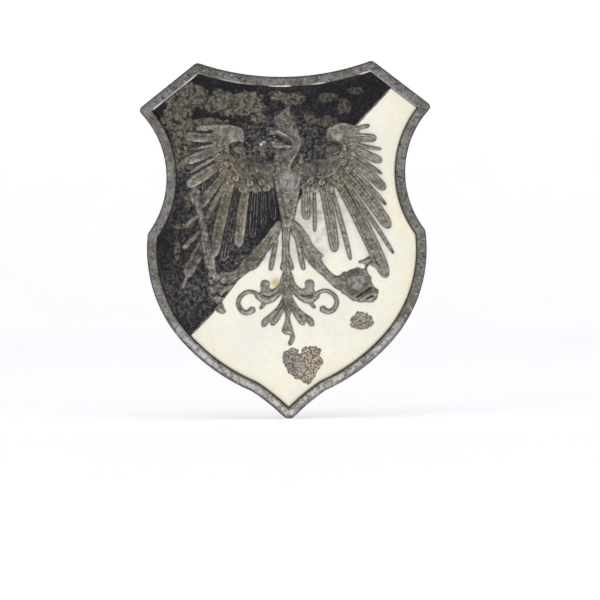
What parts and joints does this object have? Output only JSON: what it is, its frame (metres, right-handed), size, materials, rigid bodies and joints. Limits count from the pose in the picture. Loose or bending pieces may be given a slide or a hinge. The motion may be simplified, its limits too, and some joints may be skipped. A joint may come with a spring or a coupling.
{
  "type": "enamelled cap badge",
  "caption": "Shield-shaped cap badge: struck metal with a displayed eagle in relief, black and white enamel fields, and a hinged pin and catch on the back.",
  "frame": {"origin": "on the flat back, on the shield's middle line, at mid height", "axes": "+Z is the top of the shield, the face looks along -Y, the fittings stand out along +Y"},
  "size_m": [0.0278, 0.0056, 0.0341],
  "materials": {
    "struck_metal": "matt dark patina over tombak",
    "relief_metal": "dark patina, worn bright on the high spots",
    "black_enamel": "glossy, with brown corroded patches",
    "white_enamel": "smooth, cream, faintly stained",
    "fitting_metal": "satin grey patina",
    "rivet_brass": "rubbed brass",
    "needle_steel": "drawn steel wire",
    "clip_metal": "rolled spring strip",
    "solder": "dull soft solder"
  },
  "bodies": {
    "badge": {"shield": "struck_metal", "eagle": "relief_metal", "black_enamel": "black_enamel", "white_enamel": "white_enamel", "hinge_base": "fitting_metal", "hinge_solder": "solder", "hinge_block": "fitting_metal", "hinge_rivet": "rivet_brass", "catch_base": "fitting_metal", "catch_solder": "solder", "catch_clip": "clip_metal"},
    "needle": {"pin": "needle_steel"}
  },
  "joints": [
    {"name": "pin_hinge", "type": "hinge", "parent": "badge", "child": "needle", "pos_m": [0, 0.0026, 0.008], "axis": [1, 0, 0], "range_deg": [0, 120]}
  ]
}
